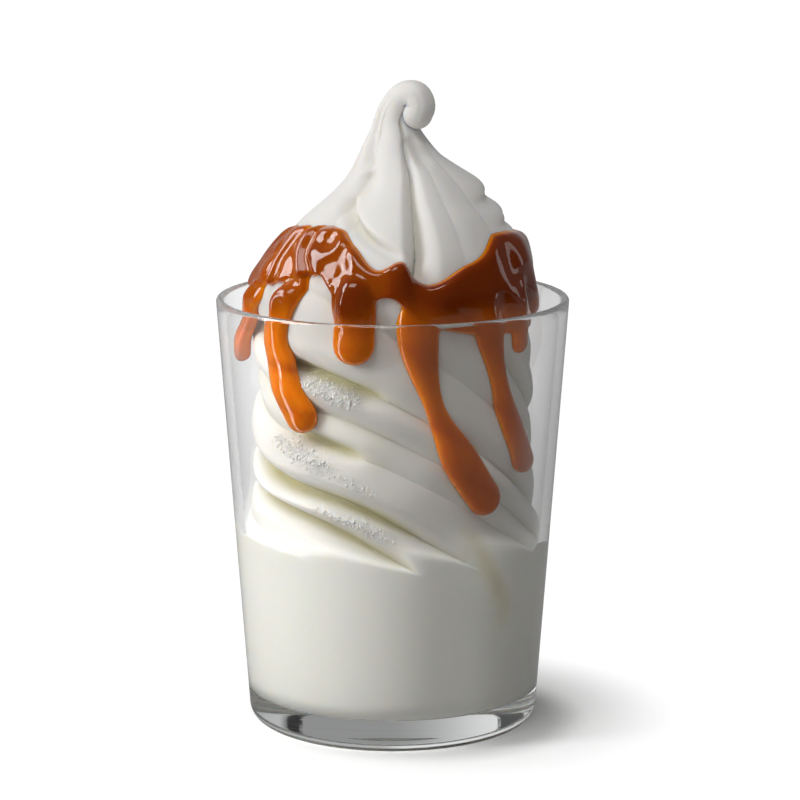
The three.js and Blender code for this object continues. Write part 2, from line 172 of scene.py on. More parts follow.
@dataclass(frozen=True)
class SwirlSizes:
    """The soft-serve. Flutes are knots of phase and depth, and creases alternate with crowns."""

    crest: Knots = (
        (39.3, 40.0), (45.3, 36.0), (51, 33.9), (58, 33.3), (82, 32.6), (101, 32.3), (107, 31.2),
        (112.5, 28.7), (117, 25.8), (121, 22.4), (125, 18.2), (129, 14.1), (133, 10.2), (137, 7.4),
        (141, 5.0), (145, 3.2),
    )
    lean: Knots = (
        (95, 0), (107, 0.8), (113, 2.2), (118, 2.9), (123, 3.9), (127, 4.2), (130, 3.4), (133, 1.9),
        (136, 1.0), (140, 0.6), (145, 1.4),
    )
    # The coils' section, and the phase after which it repeats, and the peak's own section.
    star_turn: float = 3.0
    star: Knots = (
        (0.02, 2.8), (0.18, 0.0), (0.35, 0.9), (0.5, 0.3), (0.68, 5.0), (0.85, 0.4), (0.98, 6.4), (1.2, 0.0),
        (1.47, 2.4), (1.6, 1.4), (1.74, 2.8), (1.92, 0.0), (2.05, 3.4), (2.28, 0.0), (2.56, 2.2), (2.76, 0.4),
    )
    peak: Knots = (
        (0.125, 2.6), (0.247, 0.0), (0.27, 5.2), (0.305, 0.4), (0.335, 0.75), (0.36, 0.45), (0.4, 0.8),
        (0.44, 0.0), (0.51, 1.8), (0.59, 0.0), (0.66, 3.0), (0.73, 0.0), (0.79, 2.4), (0.86, 0.0),
        (0.94, 2.2), (1.06, 0.0),
    )
    # How far the peak's flutes are turned, in degrees, at a height.
    peak_turn: Knots = ((108, 0), (118, -2), (127, -8), (131, -4), (135, 4), (141, 14))
    # Where the coils' section gives way to the peak's.
    peak_from: float = 103.0
    peak_to: float = 111.0
    # How sharply a crease opens upward and downward: the flank above it is the steadier slope.
    under: float = 1.0
    over: float = 0.62
    # How far the coils climb in a radian.
    lead: float = 12.2
    # How much steeper the coils run on one side, where in radians, and what share of it the mesh follows.
    tilt: float = 10.0
    tilt_at: float = -0.4
    column_tilt: float = 0.55
    # Where the coils turn upright, and how gently.
    twist_top: float = 106.3
    twist_ease: float = 9.0
    # A sag of the flutes at the left: its middle and reach, its drop, and where it starts to show.
    sag_at: float = -145.0
    sag_reach: float = 34.0
    sag_drop: float = 3.8
    sag_z: tuple[float, float] = (50.0, 62.0)
    # Where the swirl may leave the wall, how softly it does, and how far into it the filling reaches.
    free_z: float = 41.0
    wall_blend: float = 0.8
    wall_sink: float = 0.15
    # A stretch at the lower right where the flutes soften: its middle and reach, and by what share.
    calm_at: float = -64.0
    calm_reach: float = 28.0
    calm: float = 0.62
    # Where the last coil goes in under the peak, the pocket and the furrow beside the peak's middle ridge,
    # the lip below them, the dip above the right-hand lobe, the bulge and the notches at the right, and two
    # short creases at the left.
    grooves: tuple[Groove, ...] = (
        Groove((-147, 124.6), (-90, 113.4), 3.9, 1.0),
        Groove((-138, 130.5), (-131, 125.0), 1.9, 2.7),
        Groove((-148, 140), (-137, 131), 1.5, 1.3),
        Groove((-140, 120.5), (-124, 120), -1.0, 2.4),
        Groove((-70, 138), (-52, 132), 1.5, 2.2),
        Groove((-32, 127.4), (40, 127.4), -0.7, 2.0),
        Groove((-40, 123.5), (40, 123.5), 1.5, 1.4),
        Groove((-30, 118.2), (40, 117.6), 1.2, 1.3),
        Groove((-138, 89.4), (-94, 82.2), 2.3, 1.5),
        Groove((-138, 74.0), (-102, 68.9), 2.5, 1.5),
    )
    # Ridges where frost has formed, with how much of it for a depth.
    frosted: tuple[Groove, ...] = (
        Groove((-139, 87.5), (-100, 81.5), 1.0, 2.6),
        Groove((-150, 73.2), (-112, 65.5), 1.0, 2.6),
        Groove((-120, 67), (-86, 57.5), 0.4, 2.2),
        Groove((-126, 56), (-84, 50.5), 0.8, 2.4),
        Groove((20, 84), (60, 74), 0.8, 2.6),
    )
    # A darker, yellower streak in the crease colour, down the filling where it meets the glass.
    stain: Groove = Groove((-63, 54.5), (-38, 28), 0.42, 2.4)
    # The curled tip: x, y, z and radius along its rope.
    tip: tuple[tuple[float, float, float, float], ...] = (
        (0.55, 0.0, 138.5, 6.4), (0.3, -0.1, 141.4, 4.8), (1.2, -0.5, 144.5, 4.0), (3.0, -1.2, 146.8, 3.7),
        (5.1, -1.9, 146.8, 3.8), (6.0, -2.4, 144.9, 3.8), (5.6, -2.6, 143.2, 3.6),
    )
    # The shares of the tip's length by which it has left the body's lean, leans off upright and is smooth,
    # and the shares of its flutes that go and of its crease tint and painted shade that stays.
    tip_eased: float = 0.35
    tip_upright: float = 0.4
    tip_smoothed: tuple[float, float] = (0.08, 0.6)
    tip_flutes_lost: float = 0.88
    tip_crease_tint_and_shade: float = 0.25
    # Slow lumps and fine icy grain: cells to a millimetre, and height.
    lumps: tuple[float, float] = (0.11, 0.28)
    grain: tuple[float, float] = (0.42, 0.2)
    # The heights between which the lumps end, the creases' creamy tint and painted shade weaken, and the
    # painted shade below the sauce ends.
    steady: tuple[float, float] = (128.0, 137.0)
    crease_tint_and_shade_fades: tuple[float, float] = (98.0, 110.0)
    shade_below_fades: tuple[float, float] = (98.0, 106.0)
    # The mesh: its rings' heights above the floor where the glass holds it, and their step where it is free.
    held_rings: tuple[float, ...] = (0.0, 0.15, 0.5, 1.1, 2.0, 3.2, 4.6, 5.4, 10.0, 18.0, 26.0)
    columns: int = 360
    ring_step: float = 0.52
    tip_rings: int = 44
    dome_rings: int = 8


@dataclass(frozen=True)
class Run:
    """One run of sauce. Its ends are (degrees, height), and its widths are half-widths."""

    start: tuple[float, float]
    end: tuple[float, float]
    bow: float
    power: float
    top: float
    neck: float
    bulb: float
    lift: float = 0.3


@dataclass(frozen=True)
class SauceSizes:
    """The sauce, in millimetres and degrees."""

    top: Knots = (
        (-190, 116), (-167, 118.3), (-130, 119), (-115, 116), (-100, 111.2), (-90, 113.2), (-82, 109),
        (-75, 108), (-62, 111.4), (-50, 113.8), (-38, 117.6), (-10, 117.2), (25, 115), (60, 116.5),
        (95, 114), (130, 117),
    )
    foot: Knots = (
        (-171, 102.7), (-148, 106), (-125, 109), (-110, 102), (-92, 105), (-78, 99), (-62, 96.3),
        (-32, 94.5), (-10, 94.5), (20, 99), (55, 97), (90, 101.5), (120, 97.5), (155, 101.5),
    )
    thick: float = 1.5
    # The share of each crease that the sauce fills, its gap to the glass, and a run's rise per half-width.
    fills: float = 0.55
    glass_clear: float = 0.6
    rise: float = 0.66
    # Folds at the left where the sauce has wrinkled: their middle and reach, their rate and their height,
    # and the height of the slower swells all round.
    folds_at: float = -142.0
    folds_reach: float = 34.0
    folds_rate: float = 22.0
    folds_high: float = 0.75
    swell_high: float = 0.8
    # Painted light: where the left-hand runs look thinner and brighter, and how far round from the folds the
    # band looks a lighter amber.
    painted_light_at: float = -152.0
    painted_light_reach: float = 30.0
    painted_amber_reach: float = 36.0
    # How much deeper the sauce looks where it has pooled on the shoulder, and the painted shade that deepens
    # it at the right, with its middle.
    pooled: float = 2.8
    painted_shade_right: float = 0.9
    painted_shade_at: float = -80.0
    runs: tuple[Run, ...] = (
        Run((-158, 108), (-178, 88.2), -4, 1.2, 3.0, 2.5, 2.9, 3.2),
        Run((-132, 112), (-129, 77.6), -12, 1.0, 3.3, 3.9, 4.2, 0.4),
        Run((-113, 113), (-105, 95), 2, 1.0, 4.2, 5.2, 4.8, 0.4),
        Run((-81, 107), (-52, 58.8), 0, 2.2, 4.8, 2.3, 4.3, 0.0),
        Run((-51, 109), (-29, 65.6), 1, 2.0, 4.2, 2.4, 3.3),
        Run((-25, 111), (-30, 93), 0, 1.0, 3.6, 2.9, 2.8),
        Run((50, 107), (60, 80), 0, 1.6, 4.6, 2.7, 3.8),
        Run((122, 108), (132, 86), 2, 1.8, 4.4, 2.8, 3.4),
    )
    voxel: float = 0.42
    smoothing: int = 8
    columns: int = 240
    run_steps: int = 46
    run_sides: int = 28


class Value:
    """A shader socket that takes part in arithmetic, each operation adding a Math node."""

    def __init__(self, graph: "ShaderGraph", socket: bpy.types.NodeSocket) -> None:
        """Wraps a socket of a graph."""
        self.graph, self.socket = graph, socket

    def _math(self, operation: str, other: "Value | float", clamp: bool = False) -> "Value":
        """Adds a Math node with this value first."""
        settings = {"operation": operation, "use_clamp": clamp}
        return self.graph.node("ShaderNodeMath", settings, {0: self, 1: other})

    def _reflected(self, operation: str, other: float) -> "Value":
        """Adds a Math node with this value second."""
        return self.graph.node("ShaderNodeMath", {"operation": operation}, {0: other, 1: self})

    def __add__(self, other: "Value | float") -> "Value":
        """The sum."""
        return self._math("ADD", other)

    def __radd__(self, other: float) -> "Value":
        """The sum."""
        return self._reflected("ADD", other)

    def __sub__(self, other: "Value | float") -> "Value":
        """The difference."""
        return self._math("SUBTRACT", other)

    def __rsub__(self, other: float) -> "Value":
        """The difference."""
        return self._reflected("SUBTRACT", other)

    def __mul__(self, other: "Value | float") -> "Value":
        """The product."""
        return self._math("MULTIPLY", other)

    def __rmul__(self, other: float) -> "Value":
        """The product."""
        return self._reflected("MULTIPLY", other)

    def clamped(self) -> "Value":
        """The value held between 0 and 1."""
        return self._math("ADD", 0.0, clamp=True)

    def ramp(self, low: float, high: float) -> "Value":
        """Rises smoothly from 0 at low to 1 at high."""
        inputs = {"Value": self, "From Min": low, "From Max": high}
        return self.graph.node("ShaderNodeMapRange", {"interpolation_type": "SMOOTHSTEP"}, inputs)


Setting = Value | float | tuple[float, ...]


class ShaderGraph:
    """Builds the nodes of one material, or of a tree it is given."""

    def __init__(self, name: str, tree: bpy.types.NodeTree | None = None) -> None:
        """Starts an empty graph.

        Args:
            name: The new material's name, where no tree is given.
            tree: A tree to build in instead.
        """
        if tree is None:
            self.material = bpy.data.materials.new(name)
            self.material.use_nodes = True
            tree = self.material.node_tree
        self.tree = tree
        self.tree.nodes.clear()

    def node(
        self,
        kind: str,
        settings: dict[str, object] | None = None,
        inputs: dict[str | int, Setting] | None = None,
        output: str | int = 0,
    ) -> Value:
        """Adds a node.

        Args:
            kind: The node's type name.
            settings: Properties to set on the node.
            inputs: Values or links for its inputs, by name or index.
            output: Which output the result stands for.

        Returns:
            The chosen output.
        """
        made = self.tree.nodes.new(kind)
        for name, value in (settings or {}).items():
            setattr(made, name, value)
        for name, value in (inputs or {}).items():
            if isinstance(value, Value):
                self.tree.links.new(value.socket, made.inputs[name])
            else:
                made.inputs[name].default_value = value
        return Value(self, made.outputs[output])

    def place(self) -> Value:
        """Object coordinates, in metres."""
        return self.node("ShaderNodeTexCoord", output="Object")

    def path(self, name: str) -> Value:
        """What the Light Path node says of a ray."""
        return self.node("ShaderNodeLightPath", output=name)

    def axis(self, vector: Value, name: str) -> Value:
        """One of a vector's X, Y and Z."""
        return self.node("ShaderNodeSeparateXYZ", None, {0: vector}, output=name)

    def dot(self, vector: Value, way: tuple[float, float, float]) -> Value:
        """How far a vector goes one way."""
        return self.node("ShaderNodeVectorMath", {"operation": "DOT_PRODUCT"}, {0: vector, 1: way}, "Value")

    def distance(self, place: Value, centre: tuple[float, float, float]) -> Value:
        """How far a place is from a centre."""
        return self.node("ShaderNodeVectorMath", {"operation": "DISTANCE"}, {0: place, 1: centre}, "Value")

    def attribute(self, name: str) -> Value:
        """A float stored on the mesh's points."""
        return self.node("ShaderNodeAttribute", {"attribute_name": name}, output="Fac")

    def grain(self, per_metre: float, detail: float = 2.0, roughness: float = 0.5) -> Value:
        """Noise from 0 to 1 with that many cells to a metre."""
        inputs = {"Vector": self.place(), "Scale": per_metre, "Detail": detail, "Roughness": roughness}
        return self.node("ShaderNodeTexNoise", None, inputs)

    def blend(self, share: Setting, first: Setting, second: Setting) -> Value:
        """A colour between two.

        Args:
            share: How much of the second shows, from 0 to 1.
            first: The colour at 0.
            second: The colour at 1.

        Returns:
            The mixed colour.
        """
        made = self.node("ShaderNodeMix", {"data_type": "RGBA"}, output=2)
        mix = made.socket.node
        for socket, value in ((mix.inputs[0], share), (mix.inputs[6], first), (mix.inputs[7], second)):
            if isinstance(value, Value):
                self.tree.links.new(value.socket, socket)
            else:
                socket.default_value = value
        return made

    def bump(self, height: Value, distance: float, strength: float = 1.0) -> Value:
        """A normal raised by a height from 0 to 1 over a distance in metres."""
        inputs = {"Height": height, "Distance": distance, "Strength": strength}
        return self.node("ShaderNodeBump", None, inputs)

    def finish(self, shader: Value, volume: Value | None = None) -> bpy.types.Material:
        """Links the output.

        Args:
            shader: The surface.
            volume: The inside, if it is seen through.

        Returns:
            The finished material.
        """
        out = self.tree.nodes.new("ShaderNodeOutputMaterial")
        self.tree.links.new(shader.socket, out.inputs["Surface"])
        if volume:
            self.tree.links.new(volume.socket, out.inputs["Volume"])
        return self.material


class RaySplit:
    """What a ray is for: lighting the object, a reflection in it, or looking through the glass."""

    def __init__(self, graph: ShaderGraph) -> None:
        """Sorts the rays.

        Args:
            graph: The graph that asks.
        """
        unlit = 1.0 - graph.path("Diffuse Depth").clamped()
        bent = (graph.path("Is Transmission Ray") + graph.path("Is Reflection Ray")).clamped() * unlit
        self.direct = (graph.path("Is Camera Ray") + bent).clamped()
        self.lit = 1.0 - self.direct
        crossed = graph.path("Transmission Depth")
        self.mirrored = graph.path("Glossy Depth").clamped() * self.direct
        self.through = crossed.clamped() * self.direct
        self.deep = self.mirrored * crossed.ramp(2.0, 3.0)
        self.inner = self.mirrored * crossed.clamped() * (1.0 - crossed.ramp(2.0, 3.0))


def rgb(red: float, green: float, blue: float) -> tuple[float, float, float, float]:
    """A colour with full alpha."""
    return (red, green, blue, 1.0)


@dataclass(frozen=True)
class GlassFinish:
    """Clear pressed glass. Lengths are in metres, and rates are cells to a metre."""

    ior: float = 1.5
    tint: tuple[float, ...] = rgb(0.86, 0.91, 0.9)
    density: float = 5.0
    passes: tuple[float, ...] = rgb(0.96, 0.96, 0.96)
    wave: float = 0.00002
    waves: float = 38.0
    # Faint smears, and how far light spreads once it has been reflected inside the wall a few times.
    smears: float = 90.0
    smear: float = 0.02
    spread: float = 0.6

    def build(self) -> bpy.types.Material:
        """Builds the finish.

        Returns:
            The glass's material.
        """
        graph = ShaderGraph("clear_glass")
        guided = graph.path("Glossy Depth").ramp(1.5, 2.5)
        surface = graph.node(
            "ShaderNodeBsdfPrincipled",
            None,
            {
                "Base Color": rgb(1, 1, 1),
                "Roughness": graph.grain(self.smears).ramp(0.55, 0.9) * self.smear + guided * self.spread,
                "IOR": self.ior,
                "Transmission Weight": 1.0,
                "Normal": graph.bump(graph.grain(self.waves, 1.0), self.wave),
            },
        )
        clear = graph.node("ShaderNodeBsdfTransparent", None, {"Color": self.passes})
        both = graph.node("ShaderNodeMixShader", None, {0: graph.path("Is Shadow Ray"), 1: surface, 2: clear})
        inside = graph.node("ShaderNodeVolumeAbsorption", None, {"Color": self.tint, "Density": self.density})
        return graph.finish(both, inside)


@dataclass(frozen=True)
class IceCreamFinish:
    """Soft-serve: white and smooth on the crowns, creamier in the creases and darker there as painted shade,
    with painted shade on the swirl below the sauce, and grainy where ice has formed.

    Lengths are in metres, and rates are cells to a metre.
    """

    crown: tuple[float, ...] = rgb(0.87, 0.85, 0.82)
    packed: tuple[float, ...] = rgb(0.98, 0.95, 0.865)
    # The creases' colour: a creamier tint, made darker as painted shade.
    crease_tint_and_shade: tuple[float, ...] = rgb(0.6, 0.56, 0.34)
    # A darker tone painted as shade on the swirl below the sauce, where it is not pressed to the glass.
    painted_shade_below: tuple[float, ...] = rgb(0.745, 0.73, 0.69)
    scatter: float = 0.0012
    scatter_colour: tuple[float, float, float] = (1.0, 0.86, 0.68)
    ior: float = 1.35
    clouds: float = 60.0
    pores: float = 900.0
    pore: float = 0.00006
    crystals: float = 1300.0
    crystal: float = 0.0012
    # How rough the skin is, how much more between its pores, and how much less where ice has formed.
    rough: tuple[float, float, float] = (0.46, 0.12, 0.16)

    def build(self) -> bpy.types.Material:
        """Builds the finish.

        Returns:
            The ice cream's material.
        """
        graph = ShaderGraph("soft_serve")
        crease_tint_and_shade = graph.attribute("crease_tint_and_shade")
        icy = graph.attribute("icy")
        cloud = graph.grain(self.clouds, 3.0)
        base = graph.blend(graph.attribute("packed"), self.crown, self.packed)
        # Painted shade on the swirl below the sauce.
        base = graph.blend(graph.attribute("shade_below"), base, self.painted_shade_below)
        # Painted shade: the crease colour darkens the creases, more where they are deeper.
        colour = graph.blend((crease_tint_and_shade * (0.7 + cloud * 0.5)).clamped(), base, self.crease_tint_and_shade)
        fine = graph.grain(self.pores, 4.0, 0.6)
        soft = graph.bump(fine, self.pore, 0.5)
        raised = graph.grain(self.crystals, 3.0, 0.7) * icy
        inputs = {"Height": raised, "Distance": self.crystal, "Normal": soft}
        grainy = graph.node("ShaderNodeBump", None, inputs)
        surface = graph.node(
            "ShaderNodeBsdfPrincipled",
            {"subsurface_method": "RANDOM_WALK"},
            {
                "Base Color": colour,
                "Roughness": self.rough[0] + fine * self.rough[1] - icy * self.rough[2],
                "IOR": self.ior,
                "Subsurface Weight": 1.0,
                "Subsurface Radius": self.scatter_colour,
                "Subsurface Scale": self.scatter,
                "Normal": grainy,
            },
        )
        return graph.finish(surface)


@dataclass(frozen=True)
class FrostFinish:
    """Ice crystals: clear white and sharp enough to glint. The scatter is in metres."""

    white: tuple[float, ...] = rgb(0.97, 0.96, 0.92)
    dull: tuple[float, ...] = rgb(0.76, 0.74, 0.67)
    scatter: float = 0.0002
    scatter_colour: tuple[float, float, float] = (1.0, 0.95, 0.85)
    ior: float = 1.4
    clouds: float = 900.0

    def build(self) -> bpy.types.Material:
        """Builds the finish.

        Returns:
            The crystals' material.
        """
        graph = ShaderGraph("frost")
        cloud = graph.grain(self.clouds, 1.0)
        surface = graph.node(
            "ShaderNodeBsdfPrincipled",
            {"subsurface_method": "RANDOM_WALK"},
            {
                "Base Color": graph.blend(cloud, self.dull, self.white),
                "Roughness": 0.08 + cloud * 0.2,
                "IOR": self.ior,
                "Subsurface Weight": 1.0,
                "Subsurface Radius": self.scatter_colour,
                "Subsurface Scale": self.scatter,
            },
        )
        return graph.finish(surface)


@dataclass(frozen=True)
class CaramelFinish:
    """Caramel sauce: bright amber where thin, deep brown where thick, wet all over; its depth also carries
    painted light at the left and painted shade at the right.

    Lengths are in metres, and rates are cells to a metre.
    """

    thin: tuple[float, ...] = rgb(0.84, 0.235, 0.002)
    middle: tuple[float, ...] = rgb(0.5, 0.11, 0.003)
    deep: tuple[float, ...] = rgb(0.22, 0.032, 0.002)
    # The depths between which thin turns to middle, and middle to deep.
    thickens: tuple[float, float] = (0.4, 2.2)
    deepens: tuple[float, float] = (2.0, 4.2)
    scatter: float = 0.0018
    scatter_colour: tuple[float, float, float] = (1.0, 0.34, 0.1)
    ior: float = 1.42
    clouds: float = 110.0
    swells: float = 240.0
    swell: float = 0.0001

    def build(self) -> bpy.types.Material:
        """Builds the finish.

        Returns:
            The sauce's material.
        """
        graph = ShaderGraph("caramel")
        cloud = graph.grain(self.clouds, 3.0)
        # The depth is partly the sauce's thickness and partly painted light at the left and painted shade at
        # the right.
        depth = graph.attribute("depth") + (cloud - 0.5) * 0.5
        thin = graph.blend(depth.ramp(*self.thickens), self.thin, self.middle)
        colour = graph.blend(depth.ramp(*self.deepens), thin, self.deep)
        surface = graph.node(
            "ShaderNodeBsdfPrincipled",
            {"subsurface_method": "RANDOM_WALK"},
            {
                "Base Color": colour,
                "Roughness": 0.03 + cloud * 0.04,
                "IOR": self.ior,
                "Subsurface Weight": 1.0,
                "Subsurface Radius": self.scatter_colour,
                "Subsurface Scale": self.scatter,
                "Normal": graph.bump(graph.grain(self.swells), self.swell, 0.4),
            },
        )
        return graph.finish(surface)


def make_piece(
    name: str,
    points: np.ndarray,
    faces: list[tuple[int, ...]] | np.ndarray,
    material: bpy.types.Material,
) -> bpy.types.Object:
    """Makes a smooth-shaded object.

    Args:
        name: The piece's name.
        points: Its vertices in millimetres, one row each.
        faces: Vertex indices, counter-clockwise from outside.
        material: Its finish.

    Returns:
        The object, linked to the scene.
    """
    mesh = bpy.data.meshes.new(name)
    mesh.from_pydata((np.asarray(points) * MM).tolist(), [], [tuple(map(int, f)) for f in faces])
    mesh.validate()
    mesh.shade_smooth()
    piece = bpy.data.objects.new(name, mesh)
    bpy.context.scene.collection.objects.link(piece)
    piece.data.materials.append(material)
    return piece


def grid_faces(rows: int, columns: int, closed: bool, poles: tuple[int, int] | None) -> list[tuple[int, ...]]:
    """Faces over rings of points.

    Args:
        rows: How many rings.
        columns: Points in each ring, which always closes on itself.
        closed: Whether the last ring joins the first.
        poles: Indices of the two end points, or None.

    Returns:
        Quads and end triangles, outward when rings run counter-clockwise and climb.
    """
    faces: list[tuple[int, ...]] = []
    for i in range(rows if closed else rows - 1):
        for j in range(columns):
            k = (j + 1) % columns
            a, b = i * columns, ((i + 1) % rows) * columns
            faces.append((a + j, a + k, b + k, b + j))
    if poles:
        last = (rows - 1) * columns
        for j in range(columns):
            k = (j + 1) % columns
            faces.append((k, j, poles[0]))
            faces.append((last + j, last + k, poles[1]))
    return faces


def store(piece: bpy.types.Object, name: str, values: np.ndarray) -> None:
    """Keeps a float for each point of a piece's mesh."""
    layer = piece.data.attributes.new(name, "FLOAT", "POINT")
    layer.data.foreach_set("value", np.asarray(values, np.float32).ravel())


def arc(centre: tuple[float, float], r: float, start: float, end: float, count: int) -> Knots:
    """Points on a round stretch of a section, from one turn to another."""
    turns = np.linspace(start, end, count)
    return tuple((centre[0] + r * math.cos(turn), centre[1] + r * math.sin(turn)) for turn in turns)


class Tumbler:
    """The clear tapered glass with its heavy base."""

    def __init__(self, sizes: TumblerSizes) -> None:
        """Keeps the sizes."""
        self.sizes = sizes

    def profile(self) -> np.ndarray:
        """The section from the foot's centre, up the outside, over the lip and down to the floor's centre.

        Returns:
            Its points, as radius and height.
        """
        s = self.sizes
        right = math.pi / 2
        underside = np.linspace(0.0, s.hollow_r, 12)
        points = [(r, s.hollow * (0.5 + 0.5 * math.cos(math.pi * r / s.hollow_r))) for r in underside]
        steep = math.atan2(s.height, s.rim_r - s.foot_r)
        corner_r = float(s.outer(s.foot_corner)) - s.foot_corner / math.sin(steep)
        points += arc((corner_r, s.foot_corner), s.foot_corner, -right, steep - right, 13)
        lip_z = s.height - s.lip_r
        wall_top = lip_z - s.below_lip
        points += [(float(s.outer(z)), z) for z in np.linspace(s.wall_low, wall_top, 26)]
        points += arc((float(s.outer(lip_z)) - s.lip_r, lip_z), s.lip_r, 0.0, math.pi, 15)
        inside = np.linspace(wall_top, s.floor_z + s.floor_fillet + 1.0, 26)
        fillet = s.floor_z + s.floor_fillet * (1 - np.sin(np.linspace(0.0, right, 11)))
        points += [(float(s.inner(z)), z) for z in np.concatenate([inside, fillet])]
        points += [(r, s.floor_z) for r in (20.0, 10.0, 0.0)]
        return np.array(points)

    def build(self, material: bpy.types.Material) -> bpy.types.Object:
        """Turns the section into the glass.

        Args:
            material: Its finish.

        Returns:
            The glass.
        """
        profile = self.profile()
        count = self.sizes.segments
        angle = np.arange(count) * TAU / count
        rings = [
            np.stack([r * np.cos(angle), r * np.sin(angle), np.full(count, z)], axis=-1)
            for r, z in profile[1:-1]
        ]
        ends = np.array([[0.0, 0.0, profile[0][1]], [0.0, 0.0, profile[-1][1]]])
        points = np.vstack([*rings, ends])
        total = len(rings) * count
        faces = grid_faces(len(rings), count, False, (total, total + 1))
        return make_piece("tumbler", points, faces, material)


class Swirl:
    """The soft-serve body as a field: its radius at any angle and height."""

    def __init__(self, sizes: SwirlSizes, glass: TumblerSizes) -> None:
        """Keeps the sizes and fits their curves.

        Args:
            sizes: The swirl's sizes.
            glass: The glass that holds it.
        """
        self.sizes, self.glass = sizes, glass
        self.crest = Curve(sizes.crest)
        self.peak_turn = Curve(sizes.peak_turn)
        self.lean = Curve(sizes.lean)

    def flutes(self, star: Knots, turn: float, phase: np.ndarray) -> np.ndarray:
        """The depth below the crest at a phase of a star.

        Args:
            star: Phases and depths, a crease first, then crowns and creases in turn.
            turn: The phase after which the star repeats.
            phase: Where to read it.

        Returns:
            Depths in millimetres.
        """
        knots = np.array((*star, (star[0][0] + turn, star[0][1])), float)
        p = np.mod(phase - knots[0, 0], turn) + knots[0, 0]
        i = np.clip(np.searchsorted(knots[:, 0], p, side="right") - 1, 0, len(knots) - 2)
        t = (p - knots[i, 0]) / (knots[i + 1, 0] - knots[i, 0])
        from_crease = i % 2 == 0
        rise = np.sin(np.where(from_crease, t, 1.0 - t) * math.pi / 2)
        rise = rise ** np.where(from_crease, self.sizes.under, self.sizes.over)
        low = np.where(from_crease, knots[i, 1], knots[i + 1, 1])
        high = np.where(from_crease, knots[i + 1, 1], knots[i, 1])
        return low + (high - low) * rise

    def climb(self, z: np.ndarray) -> np.ndarray:
        """Height as the twist counts it: it stops where the flutes turn upright."""
        s = self.sizes
        return s.twist_top - s.twist_ease * np.log1p(np.exp((s.twist_top - z) / s.twist_ease))

    def phase(self, angle: np.ndarray, z: np.ndarray) -> np.ndarray:
        """The star's phase at a place.

        Args:
            angle: Where round the swirl, in radians.
            z: The height.

        Returns:
            The phase there.
        """
        s = self.sizes
        climbed = self.climb(z) + s.lead * angle + s.tilt * np.sin(angle - s.tilt_at)
        climbed = climbed + s.sag_drop * beside(angle, s.sag_at, s.sag_reach) * smoothstep(z, *s.sag_z)
        return climbed * s.star_turn / (TAU * s.lead)

    def pressed(self, angle: np.ndarray, z: np.ndarray) -> np.ndarray:
        """The depth of the grooves at a place.

        Args:
            angle: Where round the swirl, in radians.
            z: The height.

        Returns:
            Depths in millimetres.
        """
        depth = np.zeros(np.broadcast(angle, z).shape)
        for groove in self.sizes.grooves:
            depth = depth + groove.depth * self.along(groove, angle, z)
        return depth

    def along(self, line: Groove, angle: np.ndarray, z: np.ndarray) -> np.ndarray:
        """How near a place is to a line on the swirl, fading towards the line's ends.

        Args:
            line: The line, with its half-width.
            angle: Where round the swirl, in radians.
            z: The height.

        Returns:
            From 0 to 1.
        """
        (start, low), (end, high) = line.start, line.end
        round_r = float(self.crest(0.5 * (low + high)))
        run, reach = math.radians(end - start) * round_r, high - low
        across, up = turned(angle, math.radians(start)) * round_r, z - low
        t = np.clip((across * run + up * reach) / (run * run + reach * reach), 0.0, 1.0)
        off = np.hypot(across - t * run, up - t * reach)
        return (1.0 - 0.85 * np.abs(2.0 * t - 1.0) ** 3) * np.exp(-((off / line.width) ** 2))

    def depth(self, angle: np.ndarray, z: np.ndarray) -> np.ndarray:
        """How far the flutes lie below the crest: shallower as the swirl narrows.

        Args:
            angle: Where round the swirl, in radians.
            z: The height.

        Returns:
            Depths in millimetres.
        """
        s = self.sizes
        crest = self.crest(z)
        swirl = self.flutes(s.star, s.star_turn, self.phase(angle, z))
        swirl = swirl * np.clip((crest - 2.0) / 26.0, 0.1, 1.0)
        swirl = swirl * (1.0 - s.calm * beside(angle, s.calm_at, s.calm_reach))
        across = (angle - np.radians(self.peak_turn(z))) / TAU + 0.5
        peak = self.flutes(s.peak, 1.0, across) * np.clip(crest / 22.0, 0.2, 1.0)
        return swirl + (peak - swirl) * smoothstep(z, s.peak_from, s.peak_to)

    def radius(self, angle: np.ndarray, z: np.ndarray, filled: float = 0.0) -> np.ndarray:
        """The swirl's radius with a share of each crease filled."""
        return self.crest(z) - (1.0 - filled) * self.depth(angle, z) - self.pressed(angle, z)

    def body(self, angle: np.ndarray, z: np.ndarray) -> np.ndarray:
        """The radius where the glass holds the filling in."""
        wall = self.glass.inner(z) + self.sizes.wall_sink
        return smooth_min(self.radius(angle, z), wall, self.sizes.wall_blend)

    def cover(self, angle: np.ndarray, z: np.ndarray, filled: float) -> np.ndarray:
        """The smoother surface that poured sauce lies on."""
        return np.minimum(self.radius(angle, z, filled), self.glass.inner(np.minimum(z, 100.0)) - 3.0)

    def at(self, angle: np.ndarray, radius: np.ndarray, z: np.ndarray) -> np.ndarray:
        """Points round the leaning middle.

        Args:
            angle: Where round the swirl, in radians.
            radius: How far out.
            z: The height.

        Returns:
            The points, in the shape of what was given.
        """
        x = radius * np.cos(angle) + self.lean(z)
        y = radius * np.sin(angle)
        return np.stack(np.broadcast_arrays(x, y, z), axis=-1)

    def column(self, start: np.ndarray, z: np.ndarray) -> np.ndarray:
        """Where a column of the mesh has got to at a height, so that columns run with the flutes.

        Args:
            start: The column's own angle, in radians.
            z: The height.

        Returns:
            The angle there, found in a few Newton steps.
        """
        s = self.sizes
        tilt = s.column_tilt * s.tilt
        target = s.lead * start - self.climb(np.maximum(z, s.free_z))
        angle = target / s.lead
        for _ in range(14):
            slope = s.lead + tilt * np.cos(angle - s.tilt_at)
            angle = angle - (s.lead * angle + tilt * np.sin(angle - s.tilt_at) - target) / slope
        return angle


